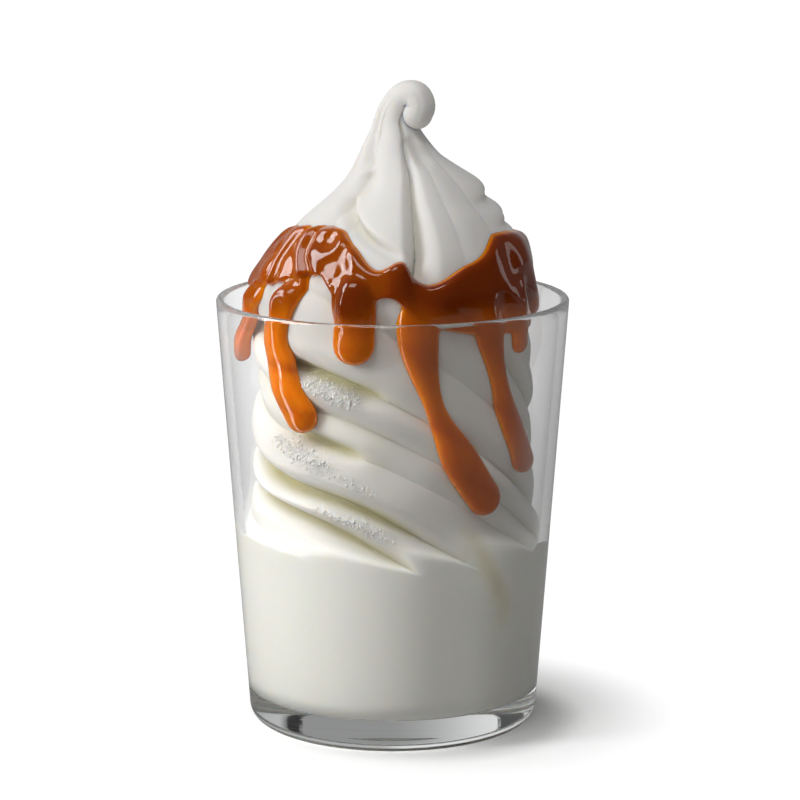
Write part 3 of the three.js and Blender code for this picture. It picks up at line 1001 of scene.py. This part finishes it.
class SoftServe:
    """The ice cream: filling, fluted swirl and curled peak in one skin."""

    def __init__(self, swirl: Swirl) -> None:
        """Keeps the swirl's field."""
        self.swirl = swirl

    def body_rings(self) -> tuple[np.ndarray, np.ndarray, np.ndarray]:
        """Lays the rings below the tip, close together in the floor's fillet and where the swirl is free.

        Returns:
            Their angles, heights and radii.
        """
        s = self.swirl.sizes
        held = self.swirl.glass.floor_z - s.wall_sink + np.array(s.held_rings)
        free = np.arange(s.free_z - 4.0, s.tip[0][2], s.ring_step)
        z = np.concatenate([held, free])[:, None]
        start = (np.arange(s.columns) * TAU / s.columns)[None, :]
        angle = self.swirl.column(start, z)
        radius = self.swirl.body(angle, z)
        return angle, np.broadcast_to(z, angle.shape), radius

    def roughen(self, points: np.ndarray, out: np.ndarray, amount: np.ndarray) -> np.ndarray:
        """Adds slow lumps and fine grain to a skin.

        Args:
            points: The skin's points.
            out: Which way is outward at each.
            amount: How icy each point is, from 0 to 1.

        Returns:
            The moved points.
        """
        s = self.swirl.sizes
        flat = points.reshape(-1, 3)
        slow = np.array([noise.noise(Vector(p * s.lumps[0])) for p in flat])
        fine = np.array([noise.noise(Vector(p * s.grain[0])) for p in flat])
        move = s.lumps[1] * slow + s.grain[1] * fine * amount.ravel()
        return (flat + out.reshape(-1, 3) * move[:, None]).reshape(points.shape)

    def icy(self, angle: np.ndarray, z: np.ndarray) -> np.ndarray:
        """Where frost has made the flutes grainy: patches along their crowns.

        Args:
            angle: Where round the swirl, in radians.
            z: The height.

        Returns:
            How icy each place is, from 0 to 1.
        """
        crown = 1.0 - np.clip(self.swirl.depth(angle, z) / 1.6, 0.0, 1.0)
        patch = np.zeros_like(angle)
        for line in self.swirl.sizes.frosted:
            patch = np.maximum(patch, line.depth * self.swirl.along(line, angle, z))
        return patch * (0.4 + 0.6 * crown)

    def build(self, material: bpy.types.Material) -> bpy.types.Object:
        """Builds the ice cream and stores what its finish reads: crease tint with painted shade, packed, icy,
        and painted shade below the sauce.

        Args:
            material: Its finish.

        Returns:
            The ice cream.
        """
        swirl, s = self.swirl, self.swirl.sizes
        angle, z, radius = self.body_rings()
        wall = swirl.glass.inner(z)
        icy = self.icy(angle, z)
        packed = smoothstep(swirl.radius(angle, z) - wall, -2.5, 0.0)
        free = smoothstep(radius, 0, 1) * (wall - 0.6 > radius)
        steady = free * (1.0 - smoothstep(z, *s.steady))
        out = np.stack([np.cos(angle), np.sin(angle), np.zeros_like(angle)], axis=-1)
        body = self.roughen(swirl.at(angle, radius, z), out * steady[..., None], icy)
        # Crease tint and painted shade: the deeper the flutes and grooves, the more of it.
        hollow = np.clip((swirl.depth(angle, z) + swirl.pressed(angle, z) - 0.8) / 3.2, 0.0, 1.0) ** 1.6
        crease_tint_and_shade = hollow * (1.0 - 0.75 * smoothstep(z, *s.crease_tint_and_shade_fades))
        crease_tint_and_shade = np.maximum(crease_tint_and_shade * free, swirl.along(s.stain, angle, z) * s.stain.depth)
        # Painted shade: the swirl below the sauce, away from the glass, is darker.
        shade_below = (1.0 - packed) * (1.0 - smoothstep(z, *s.shade_below_fades))
        tip, tip_crease_tint_and_shade, end = self.tip_rings(angle[-1], radius[-1], float(z[-1, 0]))
        rows = len(body) + len(tip)
        total = rows * s.columns
        points = np.vstack([body.reshape(-1, 3), tip.reshape(-1, 3), [0.0, 0.0, body[0, 0, 2]], end])
        faces = grid_faces(rows, s.columns, False, (total, total + 1))
        piece = make_piece("ice_cream_swirl", points, faces, material)
        plain = np.zeros(tip_crease_tint_and_shade.size)
        for name, below, above in (
            ("crease_tint_and_shade", crease_tint_and_shade, tip_crease_tint_and_shade.ravel() * s.tip_crease_tint_and_shade),
            ("packed", packed, plain),
            ("icy", icy, plain),
            ("shade_below", shade_below, plain),
        ):
            store(piece, name, np.concatenate([below.ravel(), above, [0.0, 0.0]]))
        return piece

    def tip_rings(
        self, angle: np.ndarray, radius: np.ndarray, z: float
    ) -> tuple[np.ndarray, np.ndarray, np.ndarray]:
        """Rings of the curl that carry the flutes of the last body ring on, fading as they go.

        Args:
            angle: The last body ring's angles.
            radius: Its radii.
            z: Its height.

        Returns:
            The rings' points, how much crease tint and painted shade each point has, and the end point.
        """
        s = self.swirl.sizes
        knots = np.array(s.tip)
        spans = np.concatenate([[0.0], np.cumsum(np.linalg.norm(np.diff(knots[:, :3], axis=0), axis=1))])
        *middle, rope = (Curve(tuple(zip(spans, knots[:, axis]))) for axis in range(4))
        along = np.linspace(0.0, spans[-1], s.tip_rings + 1)[1:]
        mean = radius.mean()
        share = radius / mean
        shift = np.array([float(self.swirl.lean(z)), 0.0, z]) - knots[0, :3]
        ease = 1.0 - smoothstep(along / spans[-1], 0.0, s.tip_eased)
        centres = [np.array([float(c(t)) for c in middle]) + shift * e for t, e in zip(along, ease)]
        side, tangent = np.array([1.0, 0.0, 0.0]), np.array([0.0, 0.0, 1.0])
        rings, crease_tints_and_shades = [], []
        for i, (t, e) in enumerate(zip(along, ease)):
            ahead = centres[min(i + 1, len(centres) - 1)] - centres[max(i - 1, 0)]
            ahead = ahead / np.linalg.norm(ahead)
            upright = 1.0 - float(smoothstep(t / spans[-1], 0.0, s.tip_upright))
            tangent = ahead * (1.0 - upright) + np.array([0.0, 0.0, 1.0]) * upright
            tangent = tangent / np.linalg.norm(tangent)
            side = side - tangent * (side @ tangent)
            side /= np.linalg.norm(side)
            up = np.cross(tangent, side)
            keep = 1.0 - s.tip_flutes_lost * float(smoothstep(t / spans[-1], *s.tip_smoothed))
            r = float(rope(t)) * (1.0 - e) + mean * e * float(rope(t)) / knots[0, 3]
            r = r * (1.0 + (share - 1.0) * keep)
            spoke = np.cos(angle)[:, None] * side + np.sin(angle)[:, None] * up
            rings.append(centres[i] + r[:, None] * spoke)
            crease_tints_and_shades.append(np.clip((1.0 - share) * 2.5 * keep, 0.0, 1.0))
        end, last, end_r = centres[-1], rings[-1], float(rope(spans[-1]))
        for part in np.sin(np.linspace(0.0, math.pi / 2, s.dome_rings + 1)[1:-1]):
            rings.append(end + (last - end) * math.sqrt(1.0 - part**2) + tangent * end_r * part)
            crease_tints_and_shades.append(crease_tints_and_shades[-1] * 0.5)
        return np.array(rings), np.array(crease_tints_and_shades), end + tangent * end_r


@dataclass(frozen=True)
class Frost:
    """Ice crystals on the swirl's frosted patches: their size, and how many to a square metre."""

    size: float = 0.36
    density: float = 3.2e6
    seed: int = 5

    def tree(self) -> bpy.types.NodeTree:
        """The nodes that scatter crystals where the swirl is icy.

        Returns:
            The tree, with its sizes as named inputs.
        """
        tree = bpy.data.node_groups.new("scatter_frost", "GeometryNodeTree")
        kinds = {
            "Skin": "Geometry", "Density": "Float", "Size": "Float", "Seed": "Int", "Material": "Material",
        }
        for name, kind in kinds.items():
            tree.interface.new_socket(name, in_out="INPUT", socket_type=f"NodeSocket{kind}")
        tree.interface.new_socket("Crystals", in_out="OUTPUT", socket_type="NodeSocketGeometry")
        graph = ShaderGraph("", tree)
        given = {name: graph.node("NodeGroupInput", output=name) for name in kinds}
        icy = graph.node("GeometryNodeInputNamedAttribute", {"data_type": "FLOAT"}, {"Name": "icy"})
        where = graph.node(
            "GeometryNodeDistributePointsOnFaces",
            {"distribute_method": "RANDOM"},
            {"Mesh": given["Skin"], "Density": icy.ramp(0.15, 1.0) * given["Density"], "Seed": given["Seed"]},
        )
        crystal = graph.node("GeometryNodeMeshIcoSphere", None, {"Radius": given["Size"], "Subdivisions": 1})
        scale = graph.node(
            "FunctionNodeRandomValue",
            {"data_type": "FLOAT_VECTOR"},
            {"Min": (0.35, 0.35, 0.35), "Max": (1.15, 1.15, 1.15), "Seed": given["Seed"]},
        )
        inputs = {"Points": where, "Instance": crystal, "Scale": scale}
        placed = graph.node("GeometryNodeInstanceOnPoints", None, inputs)
        real = graph.node("GeometryNodeRealizeInstances", None, {"Geometry": placed})
        inputs = {"Geometry": real, "Material": given["Material"]}
        dressed = graph.node("GeometryNodeSetMaterial", None, inputs)
        out = tree.nodes.new("NodeGroupOutput")
        tree.links.new(dressed.socket, out.inputs["Crystals"])
        return tree

    def build(self, skin: bpy.types.Object, material: bpy.types.Material) -> bpy.types.Object:
        """Scatters the crystals.

        Args:
            skin: The swirl, which carries the "icy" values.
            material: The crystals' finish.

        Returns:
            All the crystals as one piece.
        """
        piece = bpy.data.objects.new("frost", skin.data.copy())
        bpy.context.scene.collection.objects.link(piece)
        scatter = piece.modifiers.new("scatter", "NODES")
        scatter.node_group = self.tree()
        values = {"Density": self.density, "Size": self.size * MM, "Seed": self.seed, "Material": material}
        for item in scatter.node_group.interface.items_tree:
            if item.in_out == "INPUT" and item.name in values:
                scatter[item.identifier] = values[item.name]
        bake(piece)
        return piece


class Caramel:
    """The sauce: a band round the shoulder and the runs below it, fused into one wet skin."""

    def __init__(self, sizes: SauceSizes, swirl: Swirl) -> None:
        """Keeps the sizes and fits the band's edges.

        Args:
            sizes: The sauce's sizes.
            swirl: The swirl that it lies on.
        """
        self.sizes, self.swirl = sizes, swirl
        self.top = Curve(sizes.top, 360.0)
        self.foot = Curve(sizes.foot, 360.0)

    def band(self) -> tuple[np.ndarray, list[tuple[int, ...]]]:
        """The cushion-shaped section carried once round the shoulder.

        Returns:
            Its points and faces.
        """
        columns = self.sizes.columns
        degrees = np.arange(columns) * 360.0 / columns
        angle = np.radians(degrees)
        top, foot = self.top(degrees), self.foot(degrees)
        t = np.linspace(0.0, 1.0, 22)
        rise = np.minimum(1.0, 1.9 * np.sin(np.pi * t) ** 0.55) * self.sizes.thick
        loops = []
        for j in range(columns):
            z = foot[j] + (top[j] - foot[j]) * t
            cover = self.swirl.cover(angle[j], z, self.sizes.fills)
            edge = np.minimum(t, 1.0 - t) < 0.02
            outside = self.swirl.at(angle[j], cover + rise - np.where(edge, 1.4, 0.0), z)
            inside = self.swirl.at(angle[j], cover[::-1][3:-3] - 6.0, z[::-1][3:-3])
            loops.append(np.vstack([outside, inside])[::-1])
        rings = np.array(loops)
        return rings.reshape(-1, 3), grid_faces(columns, rings.shape[1], True, None)

    def run(self, run: Run) -> tuple[np.ndarray, list[tuple[int, ...]]]:
        """One flattened rope down the flank, its foot rounded.

        Args:
            run: Its path and widths.

        Returns:
            Its points and faces.
        """
        steps, sides = self.sizes.run_steps, self.sizes.run_sides
        t = np.linspace(0.0, 1.0, steps)
        (start, high), (end, low) = run.start, run.end
        angle = np.radians(start + (end - start) * t**run.power + run.bow * np.sin(np.pi * t))
        z = high + (low - high) * t
        lift = run.lift * t - 2.2 * (1.0 - smoothstep(t, 0.0, 0.3))
        cover = self.swirl.cover(angle, z, self.sizes.fills)
        window = np.hanning(17) / np.hanning(17).sum()
        cover = np.convolve(np.pad(cover, 8, mode="edge"), window, mode="valid")
        path = self.swirl.at(angle, cover + lift, z)
        widths = ((0, run.top * 0.7), (0.2, run.top), (0.55, run.neck), (0.8, run.bulb), (1, run.bulb))
        half = Curve(widths)(t)
        tangent = np.gradient(path, axis=0)
        tangent /= np.linalg.norm(tangent, axis=1, keepdims=True)
        for part in np.sin(np.linspace(0.0, math.pi / 2, 10)[1:-1]):
            path = np.vstack([path, path[steps - 1] + tangent[steps - 1] * run.bulb * part])
            tangent = np.vstack([tangent, tangent[steps - 1]])
            half = np.append(half, run.bulb * math.sqrt(1.0 - part**2))
        turn = np.arange(sides) * TAU / sides
        rings = []
        for centre, along, width in zip(path, tangent, half):
            out = np.array([centre[0], centre[1], 0.0]) / math.hypot(centre[0], centre[1])
            side = np.cross(out, along)
            side /= np.linalg.norm(side)
            rise = np.where(np.sin(turn) > 0, width * self.sizes.rise, min(width, 2.4)) * np.sin(turn)
            ring = centre + np.cos(turn)[:, None] * width * side + rise[:, None] * out
            most = self.swirl.glass.inner(np.minimum(ring[:, 2], 100.0)) - self.sizes.glass_clear
            flat = np.hypot(ring[:, 0], ring[:, 1])
            squeeze = np.where((ring[:, 2] < 103.0) & (flat > most), most / flat, 1.0)
            ring[:, :2] *= squeeze[:, None]
            rings.append(ring)
        foot = path[steps - 1] + tangent[-1] * run.bulb
        points = np.vstack([np.array(rings).reshape(-1, 3), path[0], foot])
        total = len(rings) * sides
        return points, grid_faces(len(rings), sides, False, (total, total + 1))

    def build(self, material: bpy.types.Material) -> bpy.types.Object:
        """Fuses the band and the runs, and smooths them as a liquid settles.

        Args:
            material: The sauce's finish.

        Returns:
            The sauce.
        """
        parts = [self.band(), *(self.run(run) for run in self.sizes.runs)]
        points, faces, base = [], [], 0
        for vertices, quads in parts:
            points.append(vertices)
            faces += [tuple(i + base for i in face) for face in quads]
            base += len(vertices)
        piece = make_piece("caramel_pour", np.vstack(points), faces, material)
        remesh = piece.modifiers.new("fuse", "REMESH")
        remesh.mode = "VOXEL"
        remesh.voxel_size = self.sizes.voxel * MM
        settle = piece.modifiers.new("settle", "SMOOTH")
        settle.factor = 0.5
        settle.iterations = self.sizes.smoothing
        bake(piece)
        self.drop_hidden(piece)
        place = np.empty(len(piece.data.vertices) * 3)
        piece.data.vertices.foreach_get("co", place)
        place = self.folded(place.reshape(-1, 3) / MM)
        piece.data.vertices.foreach_set("co", (place * MM).ravel())
        store(piece, "depth", self.depth(place))
        return piece

    def folded(self, place: np.ndarray) -> np.ndarray:
        """Swells the sauce where it has pooled, and wrinkles it at the left.

        Args:
            place: Points on its skin.

        Returns:
            The moved points.
        """
        s = self.sizes
        out = place * (1.0, 1.0, 0.0) / np.hypot(place[:, 0], place[:, 1])[:, None]
        swell = np.array([noise.noise(Vector(p * (0.15, 0.15, 0.1))) for p in place])
        angle = np.arctan2(place[:, 1], place[:, 0])
        wave = np.sin(turned(angle, math.radians(s.folds_at)) * s.folds_rate + 5.0 * swell)
        folds = wave * beside(angle, s.folds_at, s.folds_reach)
        high = (s.swell_high * swell + s.folds_high * folds) * smoothstep(place[:, 2], 92.0, 104.0)
        return place + out * high[:, None]

    def depth(self, place: np.ndarray) -> np.ndarray:
        """How deep the sauce looks: its own thickness, more where it has pooled, less where painted light at
        the left makes it thin, and more where painted shade at the right deepens it.

        Args:
            place: Points on its skin.

        Returns:
            A depth for each point.
        """
        s = self.sizes
        x, y, z = place[:, 0] - self.swirl.lean(place[:, 2]), place[:, 1], place[:, 2]
        angle = np.arctan2(y, x)
        over = np.clip(np.hypot(x, y) - self.swirl.radius(angle, z), 0.0, 8.0)
        # Painted light: the left-hand runs look thinner and brighter.
        painted_light = beside(angle, s.painted_light_at, s.painted_light_reach)
        over = over * (1.0 - 0.55 * painted_light * (1.0 - smoothstep(z, 98.0, 106.0)))
        # Painted light: the band at the left is a lighter amber.
        painted_amber = beside(angle, s.folds_at, s.painted_amber_reach)
        pooled = s.pooled * (1.0 - 0.5 * painted_amber) * smoothstep(z, 96.0, 107.0)
        # Painted shade: the sauce at the right looks deeper and darker.
        right = np.degrees(turned(angle, math.radians(s.painted_shade_at)))
        pooled = pooled + s.painted_shade_right * smoothstep(right, -25.0, 20.0)
        return 0.5 * over + pooled * smoothstep(over, 0.1, 1.3)

    def drop_hidden(self, piece: bpy.types.Object) -> None:
        """Removes loose bits that the fusing left inside the swirl.

        Args:
            piece: The sauce.
        """
        work = bmesh.new()
        work.from_mesh(piece.data)
        seen: set[int] = set()
        islands: list[list[bmesh.types.BMVert]] = []
        for vertex in work.verts:
            if vertex.index in seen:
                continue
            stack, island = [vertex], []
            seen.add(vertex.index)
            while stack:
                at = stack.pop()
                island.append(at)
                for edge in at.link_edges:
                    other = edge.other_vert(at)
                    if other.index not in seen:
                        seen.add(other.index)
                        stack.append(other)
            islands.append(island)
        islands.sort(key=len)
        for island in islands[:-1]:
            bmesh.ops.delete(work, geom=island, context="VERTS")
        work.to_mesh(piece.data)
        work.free()


def bake(piece: bpy.types.Object) -> None:
    """Replaces a piece's mesh by what its modifiers make of it.

    Args:
        piece: The piece, which has no modifiers afterwards.
    """
    depsgraph = bpy.context.evaluated_depsgraph_get()
    mesh = bpy.data.meshes.new_from_object(piece.evaluated_get(depsgraph), depsgraph=depsgraph)
    old = piece.data
    piece.modifiers.clear()
    piece.data = mesh
    mesh.name = old.name
    bpy.data.meshes.remove(old)
    mesh.shade_smooth()


class Look(Enum):
    """View transforms for the render."""

    PLAIN = "Standard"
    FILM = "AgX"


@dataclass(frozen=True)
class Softbox:
    """One area light, aimed at a point. Places and sizes are in metres."""

    name: str
    place: tuple[float, float, float]
    aim: tuple[float, float, float]
    size: tuple[float, float]
    watts: float
    colour: tuple[float, float, float] = (1.0, 1.0, 1.0)


@dataclass
class Studio:
    """Camera, lights, floor and surroundings. Distances are in metres, and compass points in degrees."""

    distance: float = 0.75
    camera_z: float = 0.22558
    camera_x: float = 0.00171
    pitch: float = 0.197
    pixels: float = 3276.0
    frame: float = 800.0
    look: Look = Look.PLAIN
    floor_r: float = 12.0
    # The middle of the shadow and how far out it fades, and the middle and fades of a painted shadow beside
    # the foot, where the floor's glow is dimmed.
    shade: tuple[float, float, float] = (0.012, 0.0, 0.0)
    shade_fades: tuple[float, float] = (0.028, 0.062)
    foot: tuple[float, float, float] = (0.008, -0.003, 0.0)
    painted_shadow_fades: tuple[float, float] = (0.028, 0.04)
    floor_glow: float = 0.3
    # The floor from front to back across the glass, and what the inside of the glass mirrors of its front.
    floor_middle: tuple[float, float] = (-0.06, 0.06)
    front_level: float = 0.35
    # The sweep's white, and how much duller it is through glass: all over, at the right, and near by.
    white: float = 1.04
    veil: float = 0.05
    veil_right: float = 0.4
    veil_near: float = 0.14
    # Soft light from the left and from the right.
    sky_left: float = 0.34
    sky_right: float = 0.24
    # What the outside of the object mirrors: all round, beyond it, and straight beyond, less at the right.
    sky_mirror: float = 0.05
    sheen_ahead: float = 0.1
    sheen_straight: float = 0.4
    sheen_less: float = 0.15
    # A large white card at the upper left that only shows in what mirrors it.
    card: tuple[float, float, float] = (-0.72, 0.05, 0.69)
    card_edge: tuple[float, float] = (0.945, 0.962)
    card_level: float = 14.0
    # A tall strip at the left that only shows in what mirrors it behind the glass.
    strip_at: float = -166.0
    strip_level: float = 9.0
    # A tall strip at the right that only shows in what mirrors it straight away.
    edge_at: float = 17.0
    edge_level: float = 1.8
    # Dark flags that the inside of the glass mirrors, each from where it starts to where it has ended across.
    flags: tuple[tuple[float, float, float, float], ...] = (
        (-0.79, -0.77, -0.54, -0.52),
        (0.49, 0.52, 0.59, 0.63),
    )
    flag_dark: float = 0.9
    flag_ragged: float = 0.08
    boxes: tuple[Softbox, ...] = field(
        default_factory=lambda: (
            Softbox("key", (-0.44, -0.16, 0.3), (0.0, 0.0, 0.07), (0.09, 0.3), 1.18),
            Softbox("top", (-0.1, -0.23, 0.69), (0.0, 0.0, 0.12), (0.24, 0.24), 1.1),
        )
    )

    def add_camera(self) -> None:
        """Puts the camera at the viewing angle."""
        data = bpy.data.cameras.new("camera")
        data.sensor_width = 36.0
        data.lens = self.pixels * data.sensor_width / self.frame
        data.clip_start, data.clip_end = 0.05, 60.0
        camera = bpy.data.objects.new("camera", data)
        camera.location = (self.camera_x, -self.distance, self.camera_z)
        camera.rotation_euler = (math.pi / 2 - self.pitch, 0.0, 0.0)
        bpy.context.scene.collection.objects.link(camera)
        bpy.context.scene.camera = camera

    def add_lights(self) -> None:
        """Hangs the softboxes."""
        for box in self.boxes:
            data = bpy.data.lights.new(box.name, "AREA")
            data.shape = "RECTANGLE"
            data.size, data.size_y = box.size
            data.energy = box.watts
            data.color = box.colour
            lamp = bpy.data.objects.new(box.name, data)
            lamp.location = box.place
            aim = Vector(box.aim) - Vector(box.place)
            lamp.rotation_euler = aim.to_track_quat("-Z", "Y").to_euler()
            bpy.context.scene.collection.objects.link(lamp)

    def strip_share(self, graph: ShaderGraph, toward: Value, at: float) -> Value:
        """How much of a tall strip a direction, or a place on the floor, sees.

        Args:
            graph: The graph to build in.
            toward: The direction or place, of any length.
            at: Where the strip stands.

        Returns:
            From 0 to 1.
        """
        unit = graph.node("ShaderNodeVectorMath", {"operation": "NORMALIZE"}, {0: toward})
        x, y = math.cos(math.radians(at)), math.sin(math.radians(at))
        facing = graph.dot(unit, (x, y, 0.0)).ramp(0.7, 0.8)
        off = graph.dot(unit, (-y, x, 0.0))
        return facing * (1.0 - (off * off).ramp(0.004, 0.012))

    def add_floor(self) -> None:
        """Lays the pale floor: bright to look at or through glass, calmer in what it throws back."""
        graph = ShaderGraph("pale_floor")
        rays = RaySplit(graph)
        place = graph.place()
        across, ahead = graph.axis(place, "X"), graph.axis(place, "Y")
        front = 1.0 - ahead.ramp(*self.floor_middle)
        seen = rays.direct * (1.0 - rays.mirrored * front) * (1.0 - 0.75 * (rays.mirrored - rays.inner))
        near = seen * (1.0 - graph.distance(place, self.shade).ramp(*self.shade_fades))
        veil = self.veil + self.veil_right * across.ramp(-0.07, 0.08)
        veil = rays.through * (veil + self.veil_near * (1.0 - ahead.ramp(0.15, 0.4)))
        paper = graph.blend(graph.grain(25.0), rgb(0.86, 0.86, 0.86), rgb(0.9, 0.9, 0.9))
        bounce = graph.blend(rays.lit, rgb(0.02, 0.02, 0.02), rgb(0.75, 0.75, 0.75))
        pale = graph.node("ShaderNodeBsdfDiffuse", None, {"Color": graph.blend(near, bounce, paper)})
        strip = self.strip_level * self.strip_share(graph, place, self.strip_at) * rays.deep
        within = self.front_level * rays.inner * front * (0.1 + 0.9 * across.ramp(-0.06, 0.1))
        # Painted shadow: the floor's glow is dimmed round the foot.
        glow_with_painted_shadow = self.floor_glow * (0.1 + 0.9 * graph.distance(place, self.foot).ramp(*self.painted_shadow_fades))
        strength = seen * (glow_with_painted_shadow + (1.0 - near) * (self.white - veil - glow_with_painted_shadow)) + strip + within
        shining = graph.node("ShaderNodeEmission", None, {"Color": rgb(1, 1, 1), "Strength": strength})
        material = graph.finish(graph.node("ShaderNodeAddShader", None, {0: pale, 1: shining}))
        material.cycles.emission_sampling = "NONE"
        count = 96
        angle = np.arange(count) * TAU / count
        ring = np.stack([np.cos(angle), np.sin(angle), np.zeros(count)], axis=-1) * self.floor_r / MM
        floor = make_piece("floor", ring, [tuple(range(count))], material)

    def mirror(self, graph: ShaderGraph, rays: RaySplit, toward: Value) -> Value:
        """What the object mirrors: dim surroundings, dark flags, the card and the strips.

        Args:
            graph: The world's graph.
            rays: What each ray is for.
            toward: The ray's direction.

        Returns:
            The brightness that it finds.
        """
        across, forward = graph.axis(toward, "X"), graph.axis(toward, "Y")
        ahead = forward.ramp(-0.1, 0.5)
        straight = forward.ramp(0.6, 0.95) * (self.sheen_straight - self.sheen_less * across.ramp(-0.3, 0.5))
        sheen = self.sky_mirror + self.sheen_ahead * ahead + straight
        card = self.card_level * graph.dot(toward, self.card).ramp(*self.card_edge) * (1.0 - rays.inner)
        strip = self.strip_level * self.strip_share(graph, toward, self.strip_at) * rays.deep
        edge = self.edge_level * self.strip_share(graph, toward, self.edge_at) * rays.mirrored
        edge = edge * (1.0 - rays.inner) * (1.0 - rays.deep)
        torn = graph.node("ShaderNodeTexNoise", None, {"Vector": toward, "Scale": 26.0})
        ragged = across + self.flag_ragged * torn
        left, right = (ragged.ramp(*flag[:2]) * (1.0 - ragged.ramp(*flag[2:])) for flag in self.flags)
        base = 0.37 + 0.62 * (1.0 - across.ramp(-0.6, 0.05)) + 0.3 * across.ramp(0.58, 0.64)
        base = ahead * base * (1.0 - self.flag_dark * (left + right))
        base = base + (1.0 - ahead) * (0.06 + 0.44 * across.ramp(-0.3, 0.3))
        outside = (rays.mirrored - rays.inner) * sheen + rays.mirrored * card
        return rays.inner * base + outside + strip + edge

    def add_world(self) -> None:
        """Surroundings: a white sweep to look at, things to mirror, and soft light stronger from the left."""
        world = bpy.data.worlds.new("studio")
        bpy.context.scene.world = world
        world.use_nodes = True
        graph = ShaderGraph("studio", world.node_tree)
        rays = RaySplit(graph)
        toward = graph.node("ShaderNodeTexCoord", output="Generated")
        across, up = graph.axis(toward, "X"), graph.axis(toward, "Z")
        soft = self.sky_right + (self.sky_left - self.sky_right) * (0.5 - 0.5 * across)
        soft = soft * (0.75 + 0.6 * up.clamped())
        veil = rays.through * (self.veil + self.veil_right * across.ramp(-0.06, 0.06))
        straight = rays.direct * (1.0 - rays.mirrored) * (self.white - veil)
        level = rays.lit * soft + self.mirror(graph, rays, toward) + straight
        back = graph.node("ShaderNodeBackground", None, {"Strength": level})
        out = graph.tree.nodes.new("ShaderNodeOutputWorld")
        graph.tree.links.new(back.socket, out.inputs["Surface"])

    def build(self) -> None:
        """Sets up everything that isn't the object."""
        self.add_camera()
        self.add_lights()
        self.add_floor()
        self.add_world()
        bpy.context.scene.view_settings.view_transform = self.look.value


def main() -> None:
    """Builds the scene in order."""
    logging.basicConfig(level=logging.INFO, format="%(name)s: %(message)s", stream=sys.stdout)
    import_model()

    Studio().build()
    log.info("studio ready")

    glass = TumblerSizes()
    swirl = Swirl(SwirlSizes(), glass)
    served = SoftServe(swirl).build(IceCreamFinish().build())
    pieces = (
        (Tumbler(glass).build(GlassFinish().build()), "glass_tumbler", "clear_glass"),
        (served, "ice_cream", "soft_serve"),
        (Frost().build(served, FrostFinish().build()), "ice_cream", "soft_serve"),
        (Caramel(SauceSizes(), swirl).build(CaramelFinish().build()), "caramel_sauce", "caramel"),
    )
    for piece, node, slot in pieces:
        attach(piece, "root")
        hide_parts(node)
        log.info("%s: %d faces", piece.name, len(piece.data.polygons))


if __name__ == "__main__":
    main()
